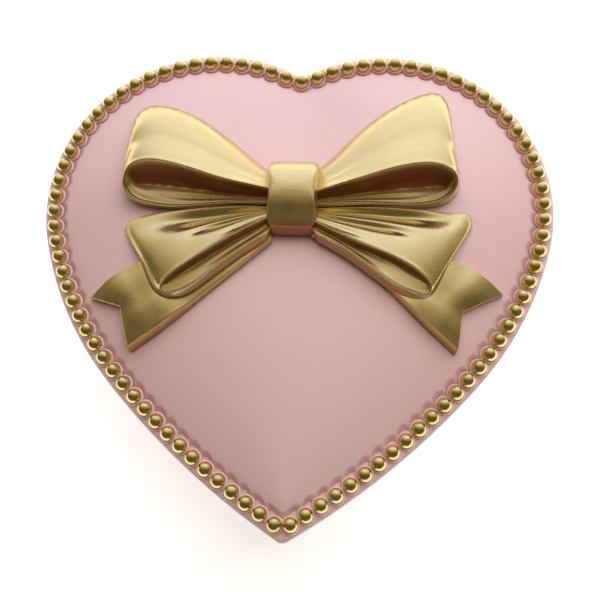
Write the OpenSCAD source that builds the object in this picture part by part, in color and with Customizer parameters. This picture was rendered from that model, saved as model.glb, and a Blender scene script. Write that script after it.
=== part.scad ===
// Heart-shaped trinket box with a lift-off lid, a beaded edge and a cast bow.
// Millimetres, +Z up, notch of the heart towards +Y, tip towards -Y.
// The origin is under the middle of the box, on the surface that it stands on.

/* [Heart outline] */
// Radius of the fillet in the notch between the lobes
notch_r = 3.25; // [3:0.05:3.6]
// Radius of each lobe
lobe_r = 35.9; // [35:0.1:37]
// Radius of the outline where a lobe runs into its flank
shoulder_r = 69.9; // [68:0.1:72]
// Radius of each flank, down to the tip
flank_r = 161; // [155:0.5:165]
// Radius of the rounded tip
tip_r = 2; // [1.5:0.1:2.5]
// How far the outline turns in half of the notch
notch_turn = 27.6; // [27:0.1:28.5]
// How far the outline turns around a lobe
lobe_turn = 131.3; // [130:0.1:132]
// How far the outline turns along a shoulder
shoulder_turn = 26.9; // [26:0.1:28]

/* [Base] */
// Thickness of the felt sheet under the box
felt_t = 1.2; // [0.8:0.1:2]
// Height of the base's rim above the table
rim_z = 30; // [28:0.5:34]
// Thickness of the base's wall and floor
base_wall = 2.5; // [2.2:0.1:2.6]
// How far the base's rim stands inside the lid's outline
base_rim_inset = 1; // [0.9:0.05:1.1]
// How far the base's foot stands inside the lid's outline
base_foot_inset = 8; // [6:0.5:9]
// Thickness of the velvet on the walls and in the lid
velvet_t = 0.8; // [0.5:0.1:1]
// Thickness of the padded floor
pad_t = 4; // [3:0.5:6]

/* [Lid] */
// Height of the lid's straight skirt
skirt_h = 10; // [9:0.5:12]
// Thickness of the skirt
skirt_wall = 3.8; // [3.8:0.1:4]
// Thickness of the domed top
dome_wall = 2.6; // [2.4:0.1:3]
// Where the ledge under the beads ends, measured in from the outline
ledge_in = 4.25; // [4.2:0.05:4.5]
// Where the cove ends and the dome starts, measured in from the outline
cove_in = 7.2; // [7:0.1:7.6]
// Height of the cove above the ledge
cove_h = 2.4; // [2:0.1:2.8]
// Height of the dome above the cove
dome_h = 5.5; // [4.5:0.1:6]
// How far the locating lip reaches down into the base
lip_drop = 4; // [3:0.5:5]
// Thickness of the locating lip
lip_t = 1.2; // [1:0.1:1.5]
// Gap between the lid's edge and the base's rim
seam = 0.2; // [0.15:0.05:0.3]

/* [Beads] */
// Number of beads around the lid, an odd number so that one sits in the notch
bead_count = 91; // [87:2:91]
// Radius of a bead
bead_r = 1.55; // [1.4:0.05:1.6]
// How far the beads' centres stand inside the outline
bead_inset = 2.35; // [2.3:0.05:2.4]
// Height of a bead's centre above the ledge
bead_up = 1; // [0.8:0.1:1.2]

/* [Bow] */
// Thickness of the ribbon tails
tail_t = 1.2; // [1:0.1:1.3]
// Thickness of a loop's edge around its mouth
ribbon_t = 0.8; // [0.6:0.1:1]

/* [Hidden] */

pink = "#dcb5b5";
deep_pink = "#b98a8d";
gold = "#c3ab5b";
velvet = "#c98f98";
felt = "#e9dfda";

// ---- The heart's outline: notch, lobe, shoulder, flank and tip, all tangent arcs ----

function polar(r, a) = [r * cos(a), r * sin(a)];
function mix(p, q, t) = p + (q - p) * t;

notch_end = notch_turn - 90;
lobe_start = notch_end + 180;
lobe_end = lobe_start - lobe_turn;
flank_start = lobe_end - shoulder_turn;

// Arc centres, first as seen from the notch's own centre
lobe_from_notch = polar(notch_r + lobe_r, notch_end);
shoulder_from_notch = lobe_from_notch - polar(shoulder_r - lobe_r, lobe_end);
flank_from_notch = shoulder_from_notch - polar(flank_r - shoulder_r, flank_start);

// The tip's arc touches the flank's from inside and is centred on the axis
function tip_y(flank_centre, inset, r) =
    flank_centre.y - sqrt(pow(flank_r - inset - r, 2) - pow(flank_centre.x, 2));

back_y = lobe_from_notch.y + lobe_r;
front_y = tip_y(flank_from_notch, 0, tip_r) - tip_r;
notch_centre = [0, -(back_y + front_y) / 2];
lobe_centre = notch_centre + lobe_from_notch;
shoulder_centre = notch_centre + shoulder_from_notch;
flank_centre = notch_centre + flank_from_notch;
heart_middle = [0, 5];

// The tip gets rounder on rings further in
function tip_radius(inset) = tip_r + 0.45 * max(0, inset - 3);

function arc(centre, r, a1, a2, steps) =
    [for (i = [0 : steps - 1]) centre + polar(r, a1 + (a2 - a1) * i / steps)];

// Right half of the outline, moved in by inset, from the notch to the tip
function half_heart(inset) = let (
    r = tip_radius(inset),
    tip_centre = [0, tip_y(flank_centre, inset, r)],
    to_tip = tip_centre - flank_centre,
    tip_start = atan2(to_tip.y, to_tip.x)
) concat(
    arc(notch_centre, notch_r + inset, -90, notch_end, 4),
    arc(lobe_centre, lobe_r - inset, lobe_start, lobe_end, 20),
    arc(shoulder_centre, shoulder_r - inset, lobe_end, flank_start, 5),
    arc(flank_centre, flank_r - inset, flank_start, tip_start, 8),
    arc(tip_centre, r, tip_start, -90, 4),
    [tip_centre - [0, r]]
);

// Whole outline, anticlockwise from the notch
function heart(inset) = let (half = half_heart(inset), last = len(half) - 1) concat(
    [for (p = half) [-p.x, p.y]],
    [for (i = [last - 1 : -1 : 1]) half[i]]
);

function at_height(points, z) = [for (p = points) [p.x, p.y, z]];
function heart_ring(inset, z) = at_height(heart(inset), z);
function toward_middle(points, keep) = [for (p = points) mix(heart_middle, p, keep)];

// ---- The dome: its height depends on the distance in from the outline ----

ledge_z = rim_z + skirt_h;
dome_span = 34;       // distance in from the outline at which the dome is level
last_offset = 27;     // rings further in than this are scaled copies

function dome_rise(inset) = let (
    t = min(1, (inset - cove_in) / (dome_span - cove_in))
) cove_h + dome_h * (1 - (1 - t) * (1 - t));

function cove_rise(inset) = cove_h * sin(90 * (inset - ledge_in) / (cove_in - ledge_in));

function lid_height(inset) = ledge_z + (
    inset <= ledge_in ? 0 : inset < cove_in ? cove_rise(inset) : dome_rise(inset));

function side_of(centre, angle, p) = cross(polar(1, angle), p - centre);

// Distance from a point inside the heart to its outline
function inset_of(point) = let (
    p = [abs(point.x), point.y],
    from_notch = p - notch_centre,
    under_notch = atan2(from_notch.y, from_notch.x) < notch_end,
    to_notch = under_notch ? norm(from_notch) - notch_r : dome_span,
    to_side = side_of(lobe_centre, lobe_end, p) >= 0
            ? (under_notch ? dome_span : lobe_r - norm(p - lobe_centre))
            : side_of(shoulder_centre, flank_start, p) >= 0
            ? shoulder_r - norm(p - shoulder_centre)
            : flank_r - norm(p - flank_centre)
) min(to_notch, to_side);

function dome_z(p) = lid_height(inset_of(p));

// ---- Solids lofted through rings of points ----

// Two triangles for the patch between points i and i + 1 of two neighbouring rings
function patch(a, b, c, d) = [[a, b, c], [a, c, d]];

function wall_faces(n, rings) = [
    for (j = [0 : rings - 2], i = [0 : n - 1]) let (k = (i + 1) % n)
        each patch(j * n + i, (j + 1) * n + i, (j + 1) * n + k, j * n + k)
];

function turned(faces, flip) = flip ? [for (f = faces) [f[2], f[1], f[0]]] : faces;

// Rings that run anticlockwise and upwards, each end closed by a fan to a middle point
module loft_fan(rings, first_middle, last_middle) {
    n = len(rings[0]);
    m = len(rings);
    points = concat([for (r = rings) each r], [first_middle, last_middle]);
    faces = concat(
        wall_faces(n, m),
        [for (i = [0 : n - 1]) [n * m, i, (i + 1) % n]],
        [for (i = [0 : n - 1]) [n * m + 1, (m - 1) * n + (i + 1) % n, (m - 1) * n + i]]
    );
    polyhedron(points, faces);
}

// A tube of rings whose last ring joins its first, for a closed heart-shaped band
module loft_band(rings) {
    n = len(rings[0]);
    points = [for (r = rings) each r];
    faces = concat(
        wall_faces(n, len(rings)),
        [for (i = [0 : n - 1]) let (k = (i + 1) % n, j = (len(rings) - 1) * n)
            each patch(j + i, i, k, j + k)]
    );
    polyhedron(points, faces);
}

// Slender rings, each end closed by a strip between the ring's two long sides
module loft_strip(rings, flip) {
    n = len(rings[0]);
    m = len(rings);
    last = (m - 1) * n;
    faces = concat(
        wall_faces(n, m),
        [for (i = [0 : n / 2 - 2]) each patch(i, i + 1, n - 2 - i, n - 1 - i)],
        [for (i = [0 : n / 2 - 2]) each
            patch(last + n - 1 - i, last + n - 2 - i, last + i + 1, last + i)]
    );
    polyhedron([for (r = rings) each r], turned(faces, flip));
}

// ---- Base ----

base_z = felt_t;
floor_z = base_z + base_wall + 0.5;
rim_top = rim_z - seam;
lining_top = rim_z - lip_drop - 0.6;
lining_gap = 0.15;    // glue behind the velvet

// The wall leans in towards the foot with a slight belly
function base_inset(z) = let (t = (rim_z - z) / (rim_z - base_z))
    base_rim_inset + (base_foot_inset - base_rim_inset) * pow(t, 1.5);

// Inside the rim the wall is straight, with room for the lid's lip. Below it, it follows
// the outer wall, and the lining's top edge stands on the step between the two.
function base_cavity_inset(z) = base_inset(z) + base_wall;
rim_cavity_inset = base_rim_inset + base_wall;

module felt_pad() {
    color(felt) linear_extrude(felt_t) polygon(heart(base_foot_inset + 1.5));
}

module base_shell() {
    outer = [for (t = [0 : 0.2 : 1]) let (z = base_z + t * (rim_top - base_z))
        heart_ring(base_inset(z), z)];
    rim = [heart_ring(rim_cavity_inset, rim_top), heart_ring(rim_cavity_inset, lining_top)];
    inner = [for (t = [1 : -0.25 : 0]) let (z = floor_z + t * (lining_top - floor_z))
        heart_ring(base_cavity_inset(z), z)];
    color(pink) loft_fan(concat(outer, rim, inner),
        [heart_middle.x, heart_middle.y, base_z], [heart_middle.x, heart_middle.y, floor_z]);
}

module wall_lining() {
    heights = [for (t = [0 : 0.25 : 1]) floor_z + t * (lining_top - floor_z)];
    outer = [for (z = heights) heart_ring(base_cavity_inset(z) + lining_gap, z)];
    inner = [for (i = [len(heights) - 1 : -1 : 0])
        heart_ring(base_cavity_inset(heights[i]) + lining_gap + velvet_t, heights[i])];
    color(velvet) loft_band(concat(outer, inner));
}

module floor_pad() {
    pad_inset = base_cavity_inset(floor_z) + velvet_t + 0.5;
    color(velvet) translate([0, 0, floor_z]) linear_extrude(pad_t) polygon(heart(pad_inset));
}

// ---- Lid ----

edge_round = 0.8;

// Underside of the lid, from the skirt's inner wall to under the dome
under_insets = [8.5, 12.5, 17, 22, last_offset];
function under_z(inset) = lid_height(inset) - dome_wall;

function inner_dome_rings(insets, drop) =
    [for (i = insets) heart_ring(i, under_z(i) - drop)];

module lid_shell() {
    edge = [for (a = [0 : 30 : 90])
        heart_ring(edge_round * (1 - cos(a)), ledge_z - edge_round * (1 - sin(a)))];
    cove = [for (t = [0 : 0.25 : 1]) let (i = ledge_in + t * (cove_in - ledge_in))
        heart_ring(i, lid_height(i))];
    dome = [for (i = [10 : 3.4 : last_offset]) heart_ring(i, lid_height(i))];
    crown = [for (k = [0.8, 0.55, 0.3]) let (i = last_offset + (1 - k) * (dome_span - last_offset))
        at_height(toward_middle(heart(last_offset), k), lid_height(i))];
    under = inner_dome_rings(under_insets, 0);
    crown_z = lid_height(dome_span);
    color(pink) loft_fan(
        concat(
            [for (i = [len(under) - 1 : -1 : 0]) under[i]],
            [heart_ring(5.2, ledge_z - 3.2),
             heart_ring(skirt_wall, ledge_z - 4.6),
             heart_ring(skirt_wall, rim_z),
             heart_ring(0.25, rim_z),
             heart_ring(0, rim_z + 0.25)],
            edge, cove, dome, crown
        ),
        [heart_middle.x, heart_middle.y, crown_z - dome_wall],
        [heart_middle.x, heart_middle.y, crown_z]
    );
}

module locating_lip() {
    low = rim_z - lip_drop;
    high = ledge_z - 4.6;
    lead = 0.4;
    color(deep_pink) loft_band([
        heart_ring(skirt_wall + lead, low),
        heart_ring(skirt_wall, low + lead),
        heart_ring(skirt_wall, high),
        heart_ring(skirt_wall + lip_t, high),
        heart_ring(skirt_wall + lip_t, low)
    ]);
}

module lid_lining() {
    outer = inner_dome_rings(under_insets, 0.05);
    inner = inner_dome_rings(under_insets, 0.05 + velvet_t);
    crown_z = lid_height(dome_span) - dome_wall - 0.05;
    color(velvet) loft_fan(
        concat([for (i = [len(inner) - 1 : -1 : 0]) inner[i]], outer),
        [heart_middle.x, heart_middle.y, crown_z - velvet_t],
        [heart_middle.x, heart_middle.y, crown_z]
    );
}

// ---- Beads: equal steps along the outline, moved in by bead_inset ----

bead_tip_centre = [0, tip_y(flank_centre, bead_inset, tip_r)];
bead_to_tip = bead_tip_centre - flank_centre;
bead_tip_start = atan2(bead_to_tip.y, bead_to_tip.x);

// Each arc of the bead line: centre, radius, first angle, last angle
bead_arcs = [
    [notch_centre, notch_r + bead_inset, -90, notch_end],
    [lobe_centre, lobe_r - bead_inset, lobe_start, lobe_end],
    [shoulder_centre, shoulder_r - bead_inset, lobe_end, flank_start],
    [flank_centre, flank_r - bead_inset, flank_start, bead_tip_start],
    [bead_tip_centre, tip_r, bead_tip_start, -90]
];

function arc_length(a) = a[1] * abs(a[3] - a[2]) * PI / 180;
function total(values, i = 0) = i == len(values) ? 0 : values[i] + total(values, i + 1);

bead_pitch = 2 * total([for (a = bead_arcs) arc_length(a)]) / bead_count;

// Point at a distance along the bead line from the notch
function along(s, i = 0) = let (a = bead_arcs[i], reach = arc_length(a))
    s <= reach || i == len(bead_arcs) - 1
    ? a[0] + polar(a[1], a[2] + (a[3] - a[2]) * s / reach)
    : along(s - reach, i + 1);

beads_per_side = (bead_count - 1) / 2;
lobe_beads = floor(beads_per_side / 2);

// Beads with a flat foot that stands on the ledge
module bead_group(first, last, side) {
    reach = lobe_r * 2;
    color(gold) intersection() {
        union() {
            for (i = [first : last]) {
                p = along(i * bead_pitch);
                translate([side * p.x, p.y, ledge_z + bead_up]) sphere(bead_r);
            }
        }
        translate([-reach, -reach, ledge_z]) cube([2 * reach, 2 * reach, bead_up + bead_r]);
    }
}

module beads_left_lobe() bead_group(1, lobe_beads, -1);
module beads_left_flank() bead_group(lobe_beads + 1, beads_per_side, -1);
module beads_right_lobe() bead_group(0, lobe_beads, 1);
module beads_right_flank() bead_group(lobe_beads + 1, beads_per_side, 1);

// ---- Bow: every point is [x, y, height above the dome], seen from the knot ----

knot_at = [0, 14.5];
tail_gap = 0.07;      // glue under a tail, so that its flat facets clear the dome

function bow_point(p, lift = 0) = let (q = [p.x, p.y] + knot_at)
    [q.x, q.y, dome_z(q) + p.z + lift];
function bow_ring(points, lift = 0) = [for (p = points) bow_point(p, lift)];

// Smooth curve through a row of hand-placed points
function curve_point(p0, p1, p2, p3, t) =
    (2 * p1 + (p2 - p0) * t + (2 * p0 - 5 * p1 + 4 * p2 - p3) * t * t
    + (3 * p1 - p0 - 3 * p2 + p3) * t * t * t) / 2;

function smooth(points, steps) = let (last = len(points) - 1) concat(
    [for (i = [0 : last - 1], j = [0 : steps - 1]) curve_point(
        points[max(0, i - 1)], points[i], points[i + 1], points[min(last, i + 2)], j / steps)],
    [points[last]]
);

// Ring between two rings; its height follows its own share
function between(a, b, plan_share, height_share) = [for (i = [0 : len(a) - 1]) [
    a[i].x + (b[i].x - a[i].x) * plan_share,
    a[i].y + (b[i].y - a[i].y) * plan_share,
    a[i].z + (b[i].z - a[i].z) * height_share]];

function level(ring, h) = [for (p = ring) [p.x, p.y, h]];

// Inner edge of a mouth: straight below the rim on the upper ribbon, beside it on the lower
function mouth_point(p, toward, lower_share) = let (
    away = [toward.x - p.x, toward.y - p.y],
    step = away / norm(away) * ribbon_t * lower_share
) [p.x + step.x, p.y + step.y, p.z - ribbon_t * (1 - 0.6 * lower_share)];

// One cast ribbon loop. foot is its outline on the lid, rim the edge of its mouth, and
// pocket the two ends of the line where the hollow behind the mouth closes. The underside
// stands sole_h above the dome inside the foot's outline.
module ribbon_loop(foot_points, rim_points, pocket, sole_h, flip) {
    foot = smooth(foot_points, 3);
    rim = smooth(rim_points, 3);
    n = len(foot);
    half = n / 2 - 1;
    reach = rim[half].x - rim[0].x;
    back_line = [for (i = [0 : n - 1]) let (k = min(i, n - 1 - i))
        mix(pocket[0], pocket[1], (rim[k].x - rim[0].x) / reach)];
    mouth = [for (i = [0 : n - 1])
        mouth_point(rim[i], back_line[i], max(0, min(1, (i - half) / 6 + 0.5)))];
    sole = level(foot, sole_h);
    rings = concat(
        [for (k = [0.85, 0.45, 0.12]) bow_ring(between(sole, back_line, k, 0))],
        [for (w = [0, 0.03, 0.12, 0.3, 0.55, 0.8, 1]) bow_ring(between(foot, rim, w, pow(w, 0.45)))],
        [for (q = [0, 0.25, 0.5, 0.8]) bow_ring(between(mouth, back_line, sin(90 * q), q * q))]
    );
    color(gold) loft_strip(rings, flip);
}

module upper_loop_left() ribbon_loop(
    [[-4, 6.5, 0], [-8, 9.6, 0], [-13.5, 14.5, 0], [-20, 19.5, 0], [-26, 22.6, 0],
     [-31, 23.8, 0], [-34.8, 22.2, 0], [-35.6, 16, 0], [-36.4, 9, 0], [-36.8, 4.2, 0],
     [-35, -0.2, 0], [-30.3, -2, 0], [-24.5, -2.6, 0], [-17.5, -2.2, 0], [-10, -1.6, 0],
     [-4, -2, 0]],
    [[-4, 1.5, 5.5], [-9, 2.2, 6.5], [-14.2, 3.2, 7.2], [-20, 5, 7.6], [-25.5, 6.6, 7.6],
     [-29.5, 7.3, 7.4], [-32.6, 7, 6.8], [-34.4, 5.9, 6], [-35.2, 4.3, 5], [-35.3, 2.4, 4],
     [-33.6, 0.2, 3], [-30, -1.1, 2.3], [-24.5, -1.8, 2.1], [-17.8, -1.2, 2.1], [-10.5, -0.6, 2.5],
     [-4, -0.8, 3]],
    [[-5, 2, 2.6], [-31.5, 12, 1.6]], 0.3, false);

module upper_loop_right() ribbon_loop(
    [[4, 7.5, 0], [8, 11.4, 0], [13, 17.4, 0], [19, 22.8, 0], [25, 26.8, 0],
     [29.2, 28.2, 0], [31.6, 25.4, 0], [32.2, 19, 0], [33.2, 12, 0], [34.6, 6.5, 0],
     [34.4, 2.6, 0], [31.5, -0.6, 0], [26, -1.8, 0], [18, -1.8, 0], [10.5, -1.7, 0],
     [4, -2.2, 0]],
    [[4, 0.8, 5.5], [9, 2.4, 6.5], [14.9, 4.3, 7.2], [20, 5.9, 7.6], [25, 7.1, 7.6],
     [28.6, 7.3, 7.4], [31.2, 6.7, 6.9], [32.7, 5.7, 6.2], [33.3, 4.4, 5.2], [33, 3, 4.2],
     [31.6, 1.4, 3.1], [29.2, 0.2, 2.4], [25, -0.4, 2.1], [18, -0.4, 2.1], [10.5, -0.6, 2.5],
     [4, -1.2, 3]],
    [[5, 1.6, 2.6], [30, 13, 1.6]], 0.3, true);

module lower_loop_left() ribbon_loop(
    [[-4, -2.6, 0], [-8, -2.5, 0], [-13, -3, 0], [-19, -3.3, 0], [-25, -3.5, 0],
     [-30.5, -3, 0], [-34.8, -4, 0], [-34, -7.5, 0], [-31.6, -11.1, 0.9], [-29.2, -16.4, 1.3],
     [-27.4, -19.4, 1.3], [-24.6, -21.2, 1.3], [-20.6, -20.6, 1.3], [-15.2, -16.7, 1.3],
     [-10, -12.5, 1.3], [-4, -8.2, 1.3]],
    [[-4, -4.2, 5.2], [-7.5, -6.2, 5.6], [-11.5, -8.6, 5.8], [-15.7, -11.2, 5.8], [-20, -13.9, 5.6],
     [-23, -15.8, 5.3], [-24.7, -17.1, 4.9], [-25.5, -18.1, 4.3], [-25.9, -19, 3.6],
     [-25.6, -19.8, 3], [-24.6, -20.3, 2.6], [-22.8, -20.2, 2.3], [-19.8, -18.9, 2.2],
     [-15.5, -15.5, 2.2], [-10.5, -11.5, 2.3], [-4, -6.9, 2.8]],
    [[-5, -4, 3], [-24.5, -13.5, 2.6]], 1.45, false);

module lower_loop_right() ribbon_loop(
    [[4, -2.6, 0], [9, -2.3, 0], [14, -2.4, 0], [20, -2.5, 0], [26, -2.5, 0],
     [32, -1.5, 0], [35.6, -0.4, 0], [36.6, -3, 0], [34.4, -7, 0.4], [31.6, -12, 0.9],
     [29.3, -17.4, 1.3], [27, -20.2, 1.3], [22.8, -19.8, 1.3], [17.2, -16.2, 1.3],
     [10.8, -11.6, 1.3], [4, -7.8, 1.3]],
    [[4, -5, 5.2], [8, -7.2, 5.6], [12, -9, 5.8], [16, -10.5, 5.8], [20.5, -12, 5.6],
     [24.5, -13.9, 5.3], [26.8, -15.6, 4.9], [28, -17.2, 4.2], [28.1, -18.4, 3.5],
     [27.6, -19.2, 2.9], [26.4, -19.4, 2.5], [24.4, -18.9, 2.3], [21.5, -17.8, 2.2],
     [16.8, -14.6, 2.2], [10.8, -10.3, 2.3], [4, -6.8, 2.8]],
    [[5, -4.6, 3], [26.5, -12, 2.6]], 1.45, true);

// A ribbon tail that lies on the dome and ends in a swallow-tail cut.
// near is its outer edge from the knot to one point of the cut, far the other edge,
// and fold the line between them, which ends in the cut's inner corner.
module ribbon_tail(near, fold, far, flip) {
    rows = [smooth(near, 3), smooth(fold, 3), smooth(far, 3)];
    n = len(rows[0]);
    grid = [for (r = rows) each r];
    bottom = bow_ring(grid, tail_gap);
    top = bow_ring(grid, tail_t);
    m = 3 * n;
    lid_side = [for (r = [0, 1], i = [0 : n - 2]) each
        patch(r * n + i, r * n + i + 1, (r + 1) * n + i + 1, (r + 1) * n + i)];
    air_side = [for (f = lid_side) [f[2] + m, f[1] + m, f[0] + m]];
    border = concat([for (i = [0 : n - 1]) i], [2 * n - 1],
        [for (i = [n - 1 : -1 : 0]) 2 * n + i], [n]);
    edge = [for (i = [0 : len(border) - 1]) let (a = border[i], b = border[(i + 1) % len(border)])
        each patch(a, a + m, b + m, b)];
    color(gold) polyhedron(concat(bottom, top), turned(concat(lid_side, air_side, edge), flip));
}

module tail_left() ribbon_tail(
    [[-4, -4.2, 0], [-16, -8, 0], [-26, -11, 0], [-31, -12.7, 0], [-36, -15, 0], [-41.6, -19.5, 0]],
    [[-4, -6.2, 0], [-14, -12, 0], [-22, -16, 0], [-27, -18.5, 0], [-31, -20.3, 0], [-34.8, -21.8, 0]],
    [[-4, -8.4, 0], [-10.2, -13.8, 0], [-17, -19.4, 0], [-22, -23.3, 0], [-27.4, -27, 0], [-32.7, -30, 0]],
    false);

module tail_right() ribbon_tail(
    [[4, -3.4, 0], [16, -6.5, 0], [26, -9, 0], [33, -11.3, 0], [37.6, -13.2, 0], [42.8, -16.8, 0]],
    [[4, -5.4, 0], [14, -11, 0], [22, -15, 0], [27, -17.5, 0], [31, -19.5, 0], [34.5, -21.3, 0]],
    [[4, -7.4, 0], [10, -9.6, 0], [16.4, -14.6, 0], [22.6, -20, 0], [28, -24.6, 0], [33.7, -28.8, 0]],
    true);

// The band around the middle: a rounded block with a slightly crowned top
module bow_knot() {
    function block(w, front, back, h) = let (r = 1.6) [
        for (c = [[1, 1, 0], [-1, 1, 90], [-1, -1, 180], [1, -1, 270]], a = [0 : 22.5 : 90])
            let (corner = [c.x * (w / 2 - r), c.y > 0 ? back - r : front + r])
            let (p = corner + polar(r, c.z + a)) [p.x, p.y, h]
    ];
    sole = block(9, -6, 7.4, 0.35);
    rings = [
        bow_ring(block(9.6, -6.6, 8, 0.02)), bow_ring(block(10, -7, 8.6, 2)),
        bow_ring(block(10.2, -7, 8.6, 4.5)), bow_ring(block(10, -6.4, 8, 6.6)),
        bow_ring(block(9.2, -5.2, 6.8, 7.8)), bow_ring(block(7.6, -3.6, 5, 8.3)),
        bow_ring(block(5, -2, 3.4, 8.4))
    ];
    color(gold) loft_fan(concat([bow_ring(sole)], rings),
        bow_point([0, 0.7, 0.35]), bow_point([0, 0.7, 8.45]));
}

felt_pad();
base_shell();
wall_lining();
floor_pad();
lid_shell();
locating_lip();
lid_lining();
beads_left_lobe();
beads_left_flank();
beads_right_lobe();
beads_right_flank();
bow_knot();
upper_loop_left();
upper_loop_right();
lower_loop_left();
lower_loop_right();
tail_left();
tail_right();
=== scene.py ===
# %% [markdown]
# # A heart-shaped trinket box with a cast bow
# The box is moulded in resin: a tapered base, a domed lid that lifts straight off, a row of
# gold beads around the lid's edge and a gold bow cast in relief on top. Inside it is lined
# with velvet. The imported part gives every height and place; this script gives the looks.
# The first step loads that part.

# %% Load the imported part
import math
from collections import namedtuple

import bmesh
import bpy
from mathutils import Matrix, Vector
from mathutils.bvhtree import BVHTree


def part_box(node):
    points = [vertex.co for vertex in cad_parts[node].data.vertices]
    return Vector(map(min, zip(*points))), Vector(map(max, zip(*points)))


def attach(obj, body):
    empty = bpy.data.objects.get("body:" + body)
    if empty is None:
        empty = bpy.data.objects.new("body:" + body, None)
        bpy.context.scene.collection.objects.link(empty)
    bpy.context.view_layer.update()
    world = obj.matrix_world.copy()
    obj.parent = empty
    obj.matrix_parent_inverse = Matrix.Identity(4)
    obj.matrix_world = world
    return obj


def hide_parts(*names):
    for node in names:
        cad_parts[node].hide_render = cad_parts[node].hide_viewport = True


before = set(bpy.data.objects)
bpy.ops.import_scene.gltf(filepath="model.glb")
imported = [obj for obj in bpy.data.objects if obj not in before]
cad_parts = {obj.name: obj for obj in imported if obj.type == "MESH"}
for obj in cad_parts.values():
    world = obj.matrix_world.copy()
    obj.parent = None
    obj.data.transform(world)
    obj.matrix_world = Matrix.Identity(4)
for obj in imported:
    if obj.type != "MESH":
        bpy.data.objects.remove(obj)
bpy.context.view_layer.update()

MM = 0.001  # the script thinks in millimetres, and Blender in metres
MERGE = 0.001  # points closer than this, in millimetres, become one


def node_box(*nodes):
    """Lowest and highest corner of some nodes, in millimetres."""
    corners = [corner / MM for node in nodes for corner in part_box(node)]
    return (Vector(min(c[i] for c in corners) for i in range(3)),
            Vector(max(c[i] for c in corners) for i in range(3)))


# %% [markdown]
# ## Heights
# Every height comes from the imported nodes: the rim where lid and base meet, the ledge that
# the beads stand on, the crown of the dome, and the floor inside.

# %% Heights from the nodes
felt_top = node_box("felt_pad")[1].z
rim_top = node_box("base_shell")[1].z
lid_low, lid_high = node_box("lid_shell")
rim_z = lid_low.z
ledge_z = node_box("beads_left_lobe")[0].z
crown_z = lid_high.z
floor_low, floor_high = node_box("floor_pad")
lip_low, lip_high = node_box("locating_lip")
lining_low, lining_high = node_box("wall_lining")
print("rim", rim_z, "ledge", ledge_z, "crown", round(crown_z, 2))

# %% [markdown]
# ## The heart outline
# A heart that looks right is a chain of arcs that run smoothly into each other: the little
# fillet in the notch, the big round lobe, the flatter shoulder, the long flank and the tip.
# It could be a curve with handles, but arcs keep an even border when the outline moves
# inwards, which is what the ledge, the beads and the dome all need.

# %% Arcs of the outline, seen from above
NOTCH_R, LOBE_R, SHOULDER_R, FLANK_R, TIP_R = 3.25, 35.9, 69.9, 161.0, 2.0
NOTCH_TURN, LOBE_TURN, SHOULDER_TURN = (math.radians(a) for a in (27.6, 131.3, 26.9))
NOTCH_STEPS, LOBE_STEPS, SHOULDER_STEPS, FLANK_STEPS, TIP_STEPS = 8, 52, 12, 24, 10
SHARP_TO, TIP_GROWTH = 3, 0.45  # the tip's radius grows on outlines further in than this


def polar(radius, angle):
    return Vector((radius * math.cos(angle), radius * math.sin(angle)))


notch_end = NOTCH_TURN - math.pi / 2
lobe_start = notch_end + math.pi
lobe_end = lobe_start - LOBE_TURN
flank_start = lobe_end - SHOULDER_TURN

notch_centre = Vector((0, lid_high.y)) - Vector(
    (0, (NOTCH_R + LOBE_R) * math.sin(notch_end) + LOBE_R))
lobe_centre = notch_centre + polar(NOTCH_R + LOBE_R, notch_end)
shoulder_centre = lobe_centre - polar(SHOULDER_R - LOBE_R, lobe_end)
flank_centre = shoulder_centre - polar(FLANK_R - SHOULDER_R, flank_start)
heart_middle = Vector((0, 5))


def half_outline(inset):
    """Arcs of the right half moved in by inset: centre, radius, first and last angle."""
    tip_r = TIP_R + TIP_GROWTH * max(0, inset - SHARP_TO)
    reach = FLANK_R - inset - tip_r
    tip = Vector((0, flank_centre.y - math.sqrt(reach ** 2 - flank_centre.x ** 2)))
    tip_start = math.atan2(tip.y - flank_centre.y, tip.x - flank_centre.x)
    return [(notch_centre, NOTCH_R + inset, -math.pi / 2, notch_end),
            (lobe_centre, LOBE_R - inset, lobe_start, lobe_end),
            (shoulder_centre, SHOULDER_R - inset, lobe_end, flank_start),
            (flank_centre, FLANK_R - inset, flank_start, tip_start),
            (tip, tip_r, tip_start, -math.pi / 2)]


print("outline from", round(lid_low.y, 2), "to", round(lid_high.y, 2))

# %% [markdown]
# ## The dome
# A dome whose height follows the distance in from the outline looks inflated, but it has a
# ridge wherever two sides are equally near. Joining the distances to the left and the right
# half softly, as 1/(a^-n + b^-n)^(1/n), keeps the even border and rounds the ridge away.

# %% Height of the dome
COVE_IN, COVE_H, SOFTNESS = 6.4, 1.9, 2.5
LEVEL_FROM = 0.97  # share of the deepest way in at which the dome is level
dome_h = crown_z - ledge_z - COVE_H


def arc_gap(point, centre, radius, first, last):
    """Distance from a point to an arc, or to its nearer end."""
    away = point - centre
    turn = math.atan2(away.y, away.x) - (first + last) / 2
    turn = (turn + math.pi) % (2 * math.pi) - math.pi
    if abs(turn) <= abs(last - first) / 2:
        return abs(away.length - radius)
    return min((away - polar(radius, end)).length for end in (first, last))


def way_in(point):
    """How far a point lies inside the cove, with both halves of the heart joined softly."""
    total = 0
    for side in (1, -1):
        mirrored = Vector((side * point.x, point.y))
        gap = min(arc_gap(mirrored, *arc) for arc in half_outline(0))
        total += max(gap - COVE_IN, MERGE) ** -SOFTNESS
    return total ** (-1 / SOFTNESS)


dome_reach = LEVEL_FROM * max(way_in(Vector((0, y))) for y in range(0, 20))


def dome_height(point):
    left = 1 - min(1, way_in(point) / dome_reach)
    return ledge_z + COVE_H + dome_h * (1 - left ** 2)


print("dome levels out", round(dome_reach, 1), "mm inside the cove")

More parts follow.
